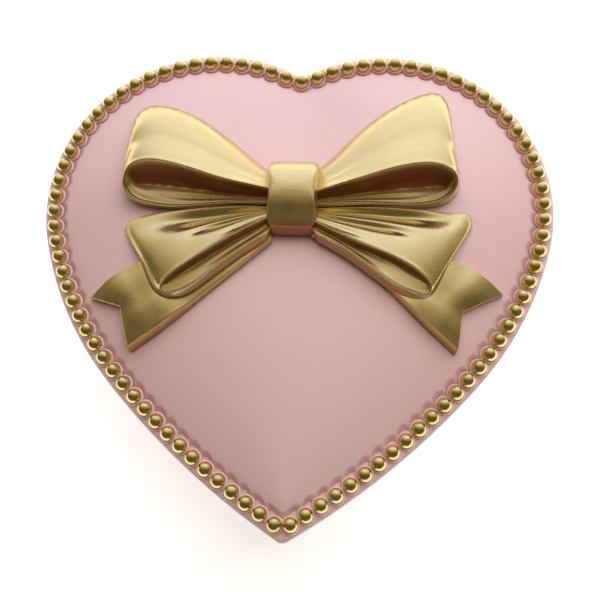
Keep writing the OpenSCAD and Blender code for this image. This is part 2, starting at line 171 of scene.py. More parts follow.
# %% [markdown]
# ## Rings and bands
# A ring is the outline at one inset and height. The rings' points at the start of the flank
# form the wall's profile. Each point is spun down its own flank and around its own tip, which
# is rounder further in, and neighbours are bridged. The whole profile is then spun back round
# shoulder, lobe and notch in three turns, and mirrored. A hand-made list of points would do
# the same with more to get wrong.

# %% Spin a profile round half a heart, and mirror it
Z_AXIS = Vector((0, 0, 1))
Ring = namedtuple("Ring", "inset z keep under", defaults=(0, 1, None))


def spin_on(bm, geom, centre, turn, steps):
    """Carries geometry around a centre, leaving a wall behind, and returns where it ends."""
    return bmesh.ops.spin(bm, geom=geom, cent=(*centre, 0), axis=Z_AXIS, angle=turn,
                          steps=steps, use_merge=False)["geom_last"]


def verts_of(geom):
    return [g for g in geom if isinstance(g, bmesh.types.BMVert)]


def flank_chain(bm, ring, number, layer):
    """One ring from the start of the flank to the tip: its first point and its edges."""
    first_edge = len(bm.edges)
    *_, flank, tip = half_outline(ring.inset)
    start = vert = bm.verts.new((*(flank[0] + polar(flank[1], flank[2])), ring.z))
    vert[layer] = number
    for (centre, _, first, last), steps in ((flank, FLANK_STEPS), (tip, TIP_STEPS)):
        vert = verts_of(spin_on(bm, [vert], centre, last - first, steps))[0]
    bm.edges.ensure_lookup_table()
    return start, bm.edges[first_edge:]


def heart_skin(rings, closed=False):
    """A skin through rings. keep draws a ring towards the middle, under follows the dome at
    that depth, and closed joins the last ring to the first."""
    bm = bmesh.new()
    layer = bm.verts.layers.int.new("ring")
    chains = [flank_chain(bm, ring, i, layer) for i, ring in enumerate(rings)]
    for (_, near), (_, far) in zip(chains, chains[1:] + (chains[:1] if closed else [])):
        bmesh.ops.bridge_loops(bm, edges=near + far)
    starts = [start for start, _ in chains]
    profile = starts + [e for e in bm.edges if set(e.verts) <= set(starts)]
    for (centre, _, first, last), steps in zip(
            half_outline(0)[2::-1], (SHOULDER_STEPS, LOBE_STEPS, NOTCH_STEPS)):
        profile = spin_on(bm, profile, centre, first - last, steps)
    for vert in bm.verts:
        ring = rings[vert[layer]]
        plan = heart_middle + (vert.co.xy - heart_middle) * ring.keep
        on_axis = abs(plan.x) < MERGE
        z = ring.z if ring.under is None else dome_height(plan) - ring.under
        vert.co = (0 if on_axis else plan.x, plan.y, z)
    bmesh.ops.mirror(bm, geom=bm.verts[:] + bm.edges[:] + bm.faces[:],
                     matrix=Matrix.Identity(4), merge_dist=MERGE, axis="X")
    bmesh.ops.remove_doubles(bm, verts=bm.verts, dist=MERGE)
    bmesh.ops.recalc_face_normals(bm, faces=bm.faces)
    bm.verts.layers.int.remove(layer)
    return bm


# %% A finished mesh becomes a named piece
def to_object(name, bm, material):
    """Turns a mesh made in millimetres into an object in metres."""
    bmesh.ops.scale(bm, vec=(MM, MM, MM), verts=bm.verts)
    mesh = bpy.data.meshes.new(name)
    bm.to_mesh(mesh)
    bm.free()
    mesh.materials.append(material)
    made = bpy.data.objects.new(name, mesh)
    bpy.context.scene.collection.objects.link(made)
    return made


def add_piece(name, bm, body, slot, stands_for=()):
    """Names a mesh, sets it in the frame, and says what it replaces."""
    open_edges = sum(not e.is_manifold for e in bm.edges)
    piece = to_object(name, bm, finishes[slot])
    piece.data.shade_smooth()
    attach(piece, body)
    if stands_for:
        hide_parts(*stands_for)
    print(name, len(piece.data.polygons), "faces,", open_edges, "open edges")
    return piece


# %% [markdown]
# ## Finishes: how the nodes are wired
# A finish is a Principled shader with a few pattern nodes in front of it. One small function
# adds a node with its settings and its links, and one turns a paint chip's hex code into the
# linear colour that Blender calculates with. Patterns read Object coordinates, which are
# metres in the box's own frame, so a pattern's scale is one over its size in metres.

# %% Colour and node helpers
def paint(hex_code):
    """Linear colour of an sRGB hex code."""
    shares = [int(hex_code[i:i + 2], 16) / 255 for i in (1, 3, 5)]
    return (*(s / 12.92 if s <= 0.04045 else ((s + 0.055) / 1.055) ** 2.4 for s in shares), 1)


def add_node(material, kind, values=(), **feeds):
    """Adds a node. A value sets a property or a socket, and another node's output feeds it."""
    made = material.node_tree.nodes.new(kind)
    for name, value in {**dict(values), **feeds}.items():
        if isinstance(value, bpy.types.NodeSocket):
            material.node_tree.links.new(value, made.inputs[name])
        elif isinstance(name, int) or name in made.inputs:
            made.inputs[name].default_value = value
        else:
            setattr(made, name, value)
    return made


def feed(material, node, feeds):
    """Links other nodes' outputs to the sockets of a node that is already there."""
    for socket, source in feeds.items():
        material.node_tree.links.new(source, node.inputs[socket])


def new_finish(name, settings):
    """A material with its Principled shader set, returned with the shader and coordinates."""
    material = bpy.data.materials.new(name)
    material.use_nodes = True
    shader = material.node_tree.nodes["Principled BSDF"]
    for socket, value in settings.items():
        shader.inputs[socket].default_value = value
    where = add_node(material, "ShaderNodeTexCoord").outputs["Object"]
    return material, shader, where


def per_mm(size):
    """Scale of a pattern whose features are size millimetres across."""
    return 1 / (size * MM)


# A Mix node's colour sockets go by number, and so does its colour output.
FACTOR, FIRST, SECOND, MIXED = 0, 6, 7, 2
finishes = {}

# %% [markdown]
# ## Pink lacquer
# The resin is sprayed dusty pink and then clear. Lacquer gives the eye a soft body colour
# under a thin glossy skin: a Principled shader of IOR 1.5 with a coat. Real lacquer is never
# flat: the spray lies a little unevenly, dust leaves fine specks, and handling leaves
# hair-thin scratches, so those three patterns drive colour, roughness and bump.

# %% Pink lacquer over moulded resin
CLOUD_MM, DUST_MM, RIPPLE_MM, HAIR_MM = 32.0, 2.2, 7.0, 12.0


def make_pink_lacquer():
    material, shader, where = new_finish("dusty_pink_spray_lacquer", {
        "IOR": 1.5, "Coat Weight": 0.35, "Coat Roughness": 0.12, "Coat IOR": 1.5})
    cloud = add_node(material, "ShaderNodeTexNoise",
                     {"Scale": per_mm(CLOUD_MM), "Detail": 2.0}, Vector=where)
    dust = add_node(material, "ShaderNodeTexVoronoi",
                    {"Scale": per_mm(DUST_MM), "Randomness": 1.0}, Vector=where)
    speck = add_node(material, "ShaderNodeMapRange",
                     {"From Min": 0.03, "From Max": 0.07, "To Min": 1.0, "To Max": 0.0},
                     Value=dust.outputs["Distance"])
    body = add_node(material, "ShaderNodeMix", {
        "data_type": "RGBA", FACTOR: cloud.outputs["Fac"], FIRST: paint("#E3B9B4"),
        SECOND: paint("#E8C1BC")})
    speckled = add_node(material, "ShaderNodeMix", {
        "data_type": "RGBA", FACTOR: speck.outputs["Result"], FIRST: body.outputs[MIXED],
        SECOND: paint("#CBA29D")})
    ripple = add_node(material, "ShaderNodeTexNoise",
                      {"Scale": per_mm(RIPPLE_MM), "Detail": 1.0}, Vector=where)
    stretch = add_node(material, "ShaderNodeMapping",
                       {"Rotation": (0, 0, 0.9), "Scale": (1.0, 0.05, 1.0)}, Vector=where)
    hair = add_node(material, "ShaderNodeTexNoise",
                    {"Scale": per_mm(HAIR_MM / 20), "Detail": 0.0}, Vector=stretch.outputs[0])
    scratch = add_node(material, "ShaderNodeMapRange",
                       {"From Min": 0.74, "From Max": 0.8}, Value=hair.outputs["Fac"])
    sheen = add_node(material, "ShaderNodeMapRange",
                     {"To Min": 0.33, "To Max": 0.41}, Value=cloud.outputs["Fac"])
    relief = add_node(material, "ShaderNodeBump", {"Strength": 0.05, "Distance": 0.3 * MM},
                      Height=ripple.outputs["Fac"])
    relief = add_node(material, "ShaderNodeBump",
                      {"Strength": 0.12, "Distance": 0.02 * MM, "invert": True},
                      Height=scratch.outputs["Result"], Normal=relief.outputs[0])
    feed(material, shader, {
        "Base Color": speckled.outputs[MIXED], "Roughness": sheen.outputs["Result"],
        "Normal": relief.outputs[0]})
    return material


finishes["pink_lacquer"] = make_pink_lacquer()
print("pink lacquer: clouds", CLOUD_MM, "mm, dust specks", DUST_MM, "mm apart")

# %% [markdown]
# ## Satin gold on the bow
# The bow is resin brushed with metallic gold paint. The flakes make it a true metal to the eye,
# but they lie unevenly, so the gloss is satin and a little patchy, with fine brush marks. In
# creases, beneath the mouths' rims, on walls that face down and on the knot's front, a dark
# red-brown is painted in and the metal fades: painted shade and painted dark reflection. Each
# piece of the bow carries a value on its points for this painted shade, made where its shape is
# made.

# %% Satin gold paint
PATCH_MM, GRIT_MM, BRUSH_MM = 6.0, 0.4, 0.55


def make_satin_gold():
    material, shader, where = new_finish("satin_gold_brushed_paint", {
        "Metallic": 1.0, "Coat Weight": 0.5, "Coat Roughness": 0.3, "Coat IOR": 1.6})
    patch = add_node(material, "ShaderNodeTexNoise",
                     {"Scale": per_mm(PATCH_MM), "Detail": 3.0}, Vector=where)
    grit = add_node(material, "ShaderNodeTexNoise",
                    {"Scale": per_mm(GRIT_MM), "Detail": 2.0}, Vector=where)
    stretch = add_node(material, "ShaderNodeMapping", {"Scale": (0.12, 1.0, 1.0)}, Vector=where)
    brush = add_node(material, "ShaderNodeTexNoise",
                     {"Scale": per_mm(BRUSH_MM), "Detail": 2.0}, Vector=stretch.outputs[0])
    hollow = add_node(material, "ShaderNodeAttribute", {"attribute_name": "hollow"})
    streak = add_node(material, "ShaderNodeMapRange", {"From Min": 0.35, "From Max": 0.65},
                      Value=brush.outputs["Fac"])
    flakes = add_node(material, "ShaderNodeMix", {
        "data_type": "RGBA", FACTOR: patch.outputs["Fac"], FIRST: paint("#DABB6C"),
        SECOND: paint("#ECD58F")})
    brushed = add_node(material, "ShaderNodeMix", {
        "data_type": "RGBA", FACTOR: streak.outputs["Result"], FIRST: flakes.outputs[MIXED],
        SECOND: paint("#E6CD88")})
    # Painted shade: the points' shade value turns the gold a dark red-brown, #96501F, and makes
    # it less metallic, to stand in for shade and dark reflections.
    shade_painted = add_node(material, "ShaderNodeMix", {
        "data_type": "RGBA", FACTOR: hollow.outputs["Fac"], FIRST: brushed.outputs[MIXED],
        SECOND: paint("#96501F")})
    gloss = add_node(material, "ShaderNodeMapRange",
                     {"From Min": 0.35, "From Max": 0.65, "To Min": 0.22, "To Max": 0.36},
                     Value=patch.outputs["Fac"])
    metal = add_node(material, "ShaderNodeMapRange", {"To Min": 1.0, "To Max": 0.45},
                     Value=hollow.outputs["Fac"])
    relief = add_node(material, "ShaderNodeBump", {"Strength": 0.3, "Distance": 0.05 * MM},
                      Height=brush.outputs["Fac"])
    relief = add_node(material, "ShaderNodeBump", {"Strength": 0.6, "Distance": 0.035 * MM},
                      Height=grit.outputs["Fac"], Normal=relief.outputs[0])
    feed(material, shader, {
        "Base Color": shade_painted.outputs[MIXED], "Metallic": metal.outputs["Result"],
        "Roughness": gloss.outputs["Result"], "Normal": relief.outputs[0]})
    return material


finishes["satin_gold"] = make_satin_gold()
print("satin gold: grit", GRIT_MM, "mm, brush marks", BRUSH_MM, "mm")

# %% [markdown]
# ## Bright gold on the beads
# The beads get the same paint, but on a small smooth ball it levels out and shines more, so
# the roughness is lower and only a slight unevenness is left.

# %% Bright gold on moulded beads
DIMPLE_MM = 1.1


def make_bright_gold():
    material, shader, where = new_finish("bright_gold_bead_paint", {"Metallic": 1.0})
    dimple = add_node(material, "ShaderNodeTexNoise",
                      {"Scale": per_mm(DIMPLE_MM), "Detail": 1.0}, Vector=where)
    tone = add_node(material, "ShaderNodeTexNoise",
                    {"Scale": per_mm(PATCH_MM), "Detail": 1.0}, Vector=where)
    flakes = add_node(material, "ShaderNodeMix", {
        "data_type": "RGBA", FACTOR: tone.outputs["Fac"], FIRST: paint("#D6C070"),
        SECOND: paint("#ECD88F")})
    gloss = add_node(material, "ShaderNodeMapRange",
                     {"To Min": 0.14, "To Max": 0.24}, Value=dimple.outputs["Fac"])
    relief = add_node(material, "ShaderNodeBump", {"Strength": 0.25, "Distance": 0.08 * MM},
                      Height=dimple.outputs["Fac"])
    feed(material, shader, {
        "Base Color": flakes.outputs[MIXED], "Roughness": gloss.outputs["Result"],
        "Normal": relief.outputs[0]})
    return material


finishes["bright_gold"] = make_bright_gold()
print("bright gold: dimples", DIMPLE_MM, "mm")

# %% [markdown]
# ## Velvet and felt
# Velvet is a short upright pile: light catches it at the edges, which Sheen gives, and the
# pile leans in patches that look darker or paler. Pressed felt is a mat of fibres with no
# pile. Single fibres are far finer than the view can show, so both are drawn coarser.

# %% Rose velvet and cream felt
PILE_MM, LEAN_MM, FIBRE_MM = 0.35, 9.0, 0.5


def make_cloth(name, dark, pale, fine_mm, patch_mm, sheen):
    material, shader, where = new_finish(name, {
        "Roughness": 0.95, "Specular IOR Level": 0.15, "Sheen Weight": sheen,
        "Sheen Roughness": 0.35, "Sheen Tint": paint(pale)})
    fine = add_node(material, "ShaderNodeTexNoise",
                    {"Scale": per_mm(fine_mm), "Detail": 3.0}, Vector=where)
    patch = add_node(material, "ShaderNodeTexNoise",
                     {"Scale": per_mm(patch_mm), "Detail": 2.0}, Vector=where)
    depth = add_node(material, "ShaderNodeMath", {
        "operation": "MULTIPLY", 0: fine.outputs["Fac"], 1: patch.outputs["Fac"]})
    spread = add_node(material, "ShaderNodeMapRange",
                      {"From Min": 0.12, "From Max": 0.4}, Value=depth.outputs[0])
    pile = add_node(material, "ShaderNodeMix", {
        "data_type": "RGBA", FACTOR: spread.outputs["Result"], FIRST: paint(dark),
        SECOND: paint(pale)})
    relief = add_node(material, "ShaderNodeBump", {"Strength": 0.6, "Distance": 0.15 * MM},
                      Height=fine.outputs["Fac"])
    feed(material, shader, {"Base Color": pile.outputs[MIXED], "Normal": relief.outputs[0]})
    return material


finishes["rose_velvet"] = make_cloth("rose_velvet", "#8E4A55", "#C58A92", PILE_MM, LEAN_MM, 0.8)
finishes["cream_felt"] = make_cloth("cream_pressed_felt", "#D9CDC2", "#F1E9E1", FIBRE_MM,
                                    LEAN_MM, 0.2)
print("velvet pile", PILE_MM, "mm, felt fibres", FIBRE_MM, "mm")

# %% [markdown]
# ## The lid
# The lid is a straight skirt with a rounded top edge, a level ledge for the beads, a small
# cove that rises behind them, and a low dome. Its height depends only on the distance in from
# the outline, so a list of (inset, height) rings is its whole profile: over the top, down the
# skirt, and back up inside.

# %% Profile of the lid
SKIRT_WALL, DOME_WALL = 3.8, 2.6
EDGE_ROUND, LEDGE_IN = 0.8, 5.4
SKIRT_LEAN, SKIRT_BEND = 0.9, 1.3  # the skirt curves in towards the rim
SKIRT_CORNER = 0.2  # chamfer at the rim and on the lip
UNDER_LEDGE = ((SKIRT_WALL, 4.6), (5.2, 3.2))  # inside corner: inset, depth below the ledge
LAST_INSET = 27.0  # rings further in are scaled copies of this one
UNDER_INSETS = (8.5, 10.5, 12.5, 15, 17.5, 20, 22.5, LAST_INSET)
CROWN_KEEPS = (0.9, 0.8, 0.68, 0.55, 0.42, 0.3, 0.18, 0.08, 0)


def steps_between(first, last, count):
    return [first + (last - first) * k / count for k in range(count + 1)]


def crown_rings(under):
    """Scaled copies of the last ring, up to one point in the middle."""
    return [Ring(LAST_INSET, keep=keep, under=under) for keep in CROWN_KEEPS]


def cove_z(inset):
    rise = (inset - LEDGE_IN) / (COVE_IN - LEDGE_IN)
    return ledge_z + COVE_H * math.sin(rise * math.pi / 2)


# %% Build the lid
def lid_rings():
    skirt_h = ledge_z - EDGE_ROUND - rim_z
    dome = [Ring(i, under=0) for i in steps_between(LAST_INSET, COVE_IN, 15)]
    cove = [Ring(i, cove_z(i)) for i in steps_between(COVE_IN - 0.35, LEDGE_IN, 8)]
    ledge = [Ring(3.2, ledge_z), Ring(1.6, ledge_z)]
    edge = [Ring(EDGE_ROUND * (1 - math.cos(a)), ledge_z - EDGE_ROUND * (1 - math.sin(a)))
            for a in steps_between(math.pi / 2, 0, 6)]
    skirt = [Ring(SKIRT_LEAN * share ** SKIRT_BEND, ledge_z - EDGE_ROUND - share * skirt_h)
             for share in (0.25, 0.5, 0.75, 0.97)]
    skirt += [Ring(SKIRT_LEAN + SKIRT_CORNER, rim_z), Ring(SKIRT_WALL - SKIRT_CORNER, rim_z),
              Ring(SKIRT_WALL, rim_z + SKIRT_CORNER)]
    inside = [Ring(inset, ledge_z - depth) for inset, depth in UNDER_LEDGE]
    under = [Ring(i, under=DOME_WALL) for i in UNDER_INSETS]
    return (crown_rings(0)[::-1] + dome + cove + ledge + edge + skirt + inside + under
            + crown_rings(DOME_WALL))


lid_mesh = heart_skin(lid_rings())
lid_surface = BVHTree.FromBMesh(lid_mesh)
add_piece("lid", lid_mesh, "lid", "pink_lacquer", ["lid_shell"])

# %% [markdown]
# ## The locating lip and the base
# A thin band inside the skirt drops into the base and keeps the lid from sliding. The base's
# wall leans in towards the foot with a slight belly, so that from above only the lid shows.
# Its rim and foot get small rounded edges, as a mould gives them.

# %% Locating lip
LIP_T, LIP_LEAD = 1.2, 0.4
lip_rings = [Ring(SKIRT_WALL + LIP_LEAD, lip_low.z), Ring(SKIRT_WALL, lip_low.z + LIP_LEAD),
             Ring(SKIRT_WALL, lip_high.z), Ring(SKIRT_WALL + LIP_T, lip_high.z),
             Ring(SKIRT_WALL + LIP_T, lip_low.z + SKIRT_CORNER),
             Ring(SKIRT_WALL + LIP_T - SKIRT_CORNER, lip_low.z)]
add_piece("locating_lip_band", heart_skin(lip_rings, closed=True), "lid", "pink_lacquer",
          ["locating_lip"])

# %% Base shell
BASE_WALL, RIM_INSET, FOOT_INSET, RIM_ROUND = 2.5, 1.0, 8.0, 0.5
BELLY, FOOT_ROUND = 1.5, 0.9  # the wall's curve, and how far the foot's edge is drawn in


def base_inset(z):
    down = (rim_z - z) / (rim_z - felt_top)
    return RIM_INSET + (FOOT_INSET - RIM_INSET) * down ** BELLY


def base_rings():
    keeps = (0.75, 0.5, 0.25, 0)
    floor_z, step_z = floor_low.z, lining_high.z
    outer = [Ring(base_inset(z), z)
             for z in steps_between(felt_top + 0.6, rim_top - RIM_ROUND, 14)]
    foot = [Ring(FOOT_INSET + FOOT_ROUND, felt_top), Ring(FOOT_INSET + 0.35, felt_top + 0.12)]
    rim = [Ring(RIM_INSET + 0.15, rim_top - 0.15), Ring(RIM_INSET + RIM_ROUND, rim_top),
           Ring(RIM_INSET + BASE_WALL - 0.3, rim_top), Ring(RIM_INSET + BASE_WALL, rim_top - 0.3),
           Ring(RIM_INSET + BASE_WALL, step_z)]
    inner = [Ring(base_inset(z) + BASE_WALL, z) for z in steps_between(step_z, floor_z, 10)]
    under = [Ring(FOOT_INSET + FOOT_ROUND, felt_top, keep) for keep in reversed(keeps)]
    floor = [Ring(base_inset(floor_z) + BASE_WALL, floor_z, keep) for keep in keeps]
    return under + foot + outer + rim + inner + floor


add_piece("base", heart_skin(base_rings()), "base", "pink_lacquer", ["base_shell"])

# %% [markdown]
# ## Velvet inside, felt below
# The wall lining is velvet-covered card bent around inside the wall, with a soft rolled top
# edge. The lid has the same velvet under its dome. The floor is a padded velvet cushion, and
# a thin felt sole keeps the table from scratches.

# %% Wall lining, lid lining and felt sole
VELVET_T, CARD_GAP, GLUE_GAP, SOLE_INSET = 0.8, 0.15, 0.05, 9.5


def lining_rings():
    back = [Ring(base_inset(z) + BASE_WALL + CARD_GAP, z)
            for z in steps_between(lining_low.z, lining_high.z - 0.3, 8)]
    face = [Ring(ring.inset + VELVET_T, ring.z) for ring in reversed(back)]
    roll = [Ring(back[-1].inset + VELVET_T * share, lining_high.z) for share in (0.25, 0.75)]
    return back + roll + face


def lid_lining_rings():
    back, face = DOME_WALL + GLUE_GAP, DOME_WALL + GLUE_GAP + VELVET_T
    return (crown_rings(face)[::-1] + [Ring(i, under=face) for i in reversed(UNDER_INSETS)]
            + [Ring(i, under=back) for i in UNDER_INSETS] + crown_rings(back))


def sole_rings():
    return ([Ring(SOLE_INSET, 0, keep) for keep in (0, 0.5, 0.97, 0.995)]
            + [Ring(SOLE_INSET, 0.15), Ring(SOLE_INSET, felt_top - 0.15)]
            + [Ring(SOLE_INSET, felt_top, keep) for keep in (0.995, 0.5, 0)])


add_piece("wall_velvet", heart_skin(lining_rings(), closed=True), "base", "rose_velvet",
          ["wall_lining"])
add_piece("lid_velvet", heart_skin(lid_lining_rings()), "lid", "rose_velvet", ["lid_lining"])
add_piece("felt_sole", heart_skin(sole_rings()), "base", "cream_felt", ["felt_pad"])

# %% [markdown]
# ## The floor cushion
# A heart-shaped foam pad covered in velvet: flat below, rounded at its edge and crowned on top.
# The rounded form is built from rings, and a short cloth simulation with some pressure inside
# gives the cover its natural swell.

# %% Floor cushion
CUSHION_GAP, GLUED_H = 0.7, 0.3  # gap to the wall lining, and the height glued down


def cushion_rings():
    inset = base_inset(floor_low.z) + BASE_WALL + VELVET_T + CUSHION_GAP
    low, high = floor_low.z + 0.02, floor_high.z
    thick = high - low
    flat = [Ring(inset + 0.8, low, keep) for keep in (0, 0.2, 0.4, 0.6, 0.8, 1)]
    side = [Ring(inset + 0.8 * (1 - math.sin(a)), low + 0.55 * thick * (1 - math.cos(a)))
            for a in (0.5, 0.9, 1.3)]
    top = [Ring(inset + further, low + thick * share) for further, share in
           ((0.05, 0.6), (0.6, 0.74), (1.7, 0.84), (3.4, 0.9), (5.5, 0.94))]
    crown = [Ring(inset + 6.1, low + thick * (0.95 + 0.03 * (1 - keep)), keep)
             for keep in (0.85, 0.7, 0.55, 0.4, 0.25, 0.12, 0)]
    return flat + side + top + crown


def swell(cushion, frames=12, most=0.25):
    """Presses the cover outwards as cloth, then keeps each point within most millimetres."""
    rest = [v.co.copy() for v in cushion.data.vertices]
    pinned = cushion.vertex_groups.new(name="glued_underside")
    low = floor_low.z * MM + GLUED_H * MM
    pinned.add([i for i, co in enumerate(rest) if co.z < low], 1.0, "REPLACE")
    cloth = cushion.modifiers.new("cover", "CLOTH")
    cloth.settings.use_pressure = True
    cloth.settings.uniform_pressure_force = 1.0
    cloth.settings.vertex_group_mass = pinned.name
    cloth.settings.effector_weights.gravity = 0
    for number in range(1, frames + 1):
        bpy.context.scene.frame_set(number)
    shown = cushion.evaluated_get(bpy.context.evaluated_depsgraph_get())
    moved = [v.co.copy() for v in shown.data.vertices]
    cushion.modifiers.remove(cloth)
    bpy.context.scene.frame_set(1)
    top = floor_high.z * MM
    for vert, start, end in zip(cushion.data.vertices, rest, moved):
        step = end - start
        if step.length > most * MM:
            step.length = most * MM
        vert.co = start + step
        vert.co.z = min(vert.co.z, top)


cushion = add_piece("floor_cushion", heart_skin(cushion_rings()), "base", "rose_velvet",
                    ["floor_pad"])
swell(cushion)
print("floor cushion thickness, mm:", round(floor_high.z - floor_low.z, 2))

# %% [markdown]
# ## The beads
# Ninety-one balls stand on the ledge at equal steps, one of them in the notch. Each sits in a
# small raised seat where the lacquer has gathered around its foot. The walk along the bead
# line goes arc by arc, as the outline does.

# %% Places along the bead line
BEAD_COUNT, BEAD_R, BEAD_INSET, BEAD_UP = 91, 1.55, 2.35, 1.0
bead_arcs = half_outline(BEAD_INSET)
half_line = sum(radius * abs(last - first) for _, radius, first, last in bead_arcs)
bead_pitch = 2 * half_line / BEAD_COUNT


def beside_beads(distance, inset=BEAD_INSET):
    """Point at a distance along the bead line, from the notch clockwise, at any inset."""
    side = 1 if distance <= half_line else -1
    distance = min(distance, 2 * half_line - distance, half_line - 0.001)
    for number, (_, radius, first, last) in enumerate(bead_arcs):
        reach = radius * abs(last - first)
        if distance <= reach:
            break
        distance -= reach
    centre, radius, first, last = half_outline(inset)[number]
    point = centre + polar(radius, first + (last - first) * min(1, distance / reach))
    return Vector((side * point.x, point.y))


print("bead pitch, mm:", round(bead_pitch, 3))


# %% Balls and their seats
def balls(places):
    """Balls cut flat where they stand on the ledge."""
    bm = bmesh.new()
    for place in places:
        at = Matrix.Translation((*place, ledge_z + BEAD_UP))
        bmesh.ops.create_uvsphere(bm, u_segments=28, v_segments=16, radius=BEAD_R, matrix=at)
    cut = bmesh.ops.bisect_plane(bm, geom=bm.verts[:] + bm.edges[:] + bm.faces[:],
                                 plane_co=(0, 0, ledge_z), plane_no=Z_AXIS, clear_inner=True)
    rims = [g for g in cut["geom_cut"] if isinstance(g, bmesh.types.BMEdge)]
    bmesh.ops.holes_fill(bm, edges=rims)
    return bm


def seats(places):
    """A low rounded collar of lacquer around each ball's foot."""
    bm = bmesh.new()
    foot_r = math.sqrt(BEAD_R ** 2 - BEAD_UP ** 2)
    for place in places:
        centre = Vector((*place, ledge_z))
        verts = []
        for out, up in ((0.1, -0.15), (0.32, 0.72), (0.52, 0.74), (0.72, 0.42), (0.84, -0.15)):
            verts.append(bm.verts.new(centre + Vector((foot_r + out, 0, up))))
        edges = [bm.edges.new(pair) for pair in zip(verts, verts[1:] + verts[:1])]
        bmesh.ops.spin(bm, geom=verts + edges, cent=centre, axis=Z_AXIS,
                       angle=2 * math.pi, steps=20, use_merge=True)
    bmesh.ops.remove_doubles(bm, verts=bm.verts, dist=MERGE)
    bmesh.ops.recalc_face_normals(bm, faces=bm.faces)
    return bm


per_side = (BEAD_COUNT - 1) // 2
lobe_beads = per_side // 2
all_places = []
for side, hand in ((-1, "left"), (1, "right")):
    for part, first, last in (("lobe", 1 if side < 0 else 0, lobe_beads),
                              ("flank", lobe_beads + 1, per_side)):
        places = [Vector((side, 1)) * beside_beads(i * bead_pitch)
                  for i in range(first, last + 1)]
        add_piece(f"gold_beads_{hand}_{part}", balls(places), "lid", "bright_gold",
                  [f"beads_{hand}_{part}"])
        all_places += places
add_piece("bead_seats", seats(all_places), "lid", "pink_lacquer")

# %% [markdown]
# ## The scalloped edge of the dome
# The dome ends just short of the beads, and its edge is hollowed out around each of them. It
# could be cut from the lid with ninety-one round tools. A band of its own keeps the mesh even
# instead: its outer rows follow circles around the beads, and its inner rows calm down to the
# outline and sink into the dome. The band is a plain grid whose points are moved to the rows
# and joined into a ring, and the bow uses the same helper.

# %% A grid rolled into rings
GRID_MERGE = 0.004  # millimetres


def rolled_grid(rings, hollows=None):
    """Rolls a grid through rings of points, and closes it. The optional levels of painted shade
    give one value per point.
    """
    bm = bmesh.new()
    across, along_ring = len(rings) - 1, len(rings[0])
    bmesh.ops.create_grid(bm, x_segments=along_ring, y_segments=across, size=1)
    layer = bm.verts.layers.float.new("hollow") if hollows else None
    for vert in bm.verts:
        i = round((vert.co.x + 1) / 2 * along_ring) % along_ring
        j = round((vert.co.y + 1) / 2 * across)
        vert.co = rings[j][i]
        if hollows:
            vert[layer] = hollows[j][i]
    bmesh.ops.remove_doubles(bm, verts=bm.verts, dist=GRID_MERGE)
    bmesh.ops.recalc_face_normals(bm, faces=bm.faces)
    return bm


# %% Scallops around the beads
SCALLOP_STEPS = 12  # points from one bead to the next
SCALLOP = ((2.05, -0.05), (2.18, 0.22), (2.4, 0.58), (2.68, 0.87), (2.9, 1), (3.15, 1))
BROW_IN, BROW_OVER, BROW_SLOPE = 6.6, 0.05, 0.47  # where the edge's own slope meets the dome
CALM = ((BROW_IN, BROW_OVER), (7.4, 0.012), (8.2, -0.012), (8.8, -0.06), (8, -0.4))
SUNK = 0.3  # the band's foot goes this far into the ledge


def scallop_rings():
    """SCALLOP rows: distance from the bead, share of the slope's height. CALM rows: inset,
    height over the dome."""
    walk = [i / SCALLOP_STEPS * bead_pitch for i in range(BEAD_COUNT * SCALLOP_STEPS)]
    brows = [dome_height(beside_beads(distance, BROW_IN)) + BROW_OVER for distance in walk]
    rings = []
    for reach, share in SCALLOP:
        ring = []
        for distance, brow in zip(walk, brows):
            aside = (distance / bead_pitch + 0.5) % 1 - 0.5
            inset = BEAD_INSET + math.sqrt(max(0.01, reach ** 2 - (aside * bead_pitch) ** 2))
            slope_z = brow - BROW_SLOPE * (BROW_IN - inset)
            z = ledge_z + share * (slope_z - ledge_z)
            ring.append((*beside_beads(distance, inset), z))
        rings.append(ring)
    for inset, over in CALM:
        places = [beside_beads(distance, inset) for distance in walk]
        rings.append([(*place, dome_height(place) + over) for place in places])
    rings.append([(*beside_beads(distance, LEDGE_IN), ledge_z - SUNK) for distance in walk])
    return rings + rings[:1]


add_piece("scalloped_edge", rolled_grid(scallop_rings()), "lid", "pink_lacquer")

# %% [markdown]
# ## Shaping the bow
# The bow is cast in relief, so each part is one closed form that stands on the dome. A grid
# is rolled into rings again: one row after another follows the underside, the outer wall,
# the mouth's edge and the hollow behind it. Points are given as plan position and height
# above the dome, and a ray dropped on the lid finds the dome. A subdivision surface then
# smooths the form, as a sculptor's finger would.

# %% Points on the dome
KNOT_AT = Vector((0, 14.5))
RAY_START = 20  # millimetres above the crown


def dome_z(x, y):
    hit = lid_surface.ray_cast(Vector((x, y, crown_z + RAY_START)), -Z_AXIS)
    return hit[0].z


def on_dome(point):
    """A point beside the knot, with its height above the dome, in the box's frame."""
    x, y = point[0] + KNOT_AT.x, point[1] + KNOT_AT.y
    return Vector((x, y, dome_z(x, y) + point[2]))


def smooth_line(points, steps):
    """A Catmull-Rom curve through given points."""
    points = [Vector(p) for p in points]
    last = len(points) - 1
    line = []
    for i in range(last):
        p0, p1 = points[max(0, i - 1)], points[i]
        p2, p3 = points[i + 1], points[min(last, i + 2)]
        for j in range(steps):
            t = j / steps
            line.append((2 * p1 + (p2 - p0) * t + (2 * p0 - 5 * p1 + 4 * p2 - p3) * t ** 2
                         + (3 * p1 - p0 - 3 * p2 + p3) * t ** 3) / 2)
    return line + [points[last]]


def add_bow_piece(name, bm, node):
    piece = add_piece(name, bm, "lid", "satin_gold", [node])
    smoother = piece.modifiers.new("smooth_cast", "SUBSURF")
    smoother.levels = smoother.render_levels = 2
    return piece


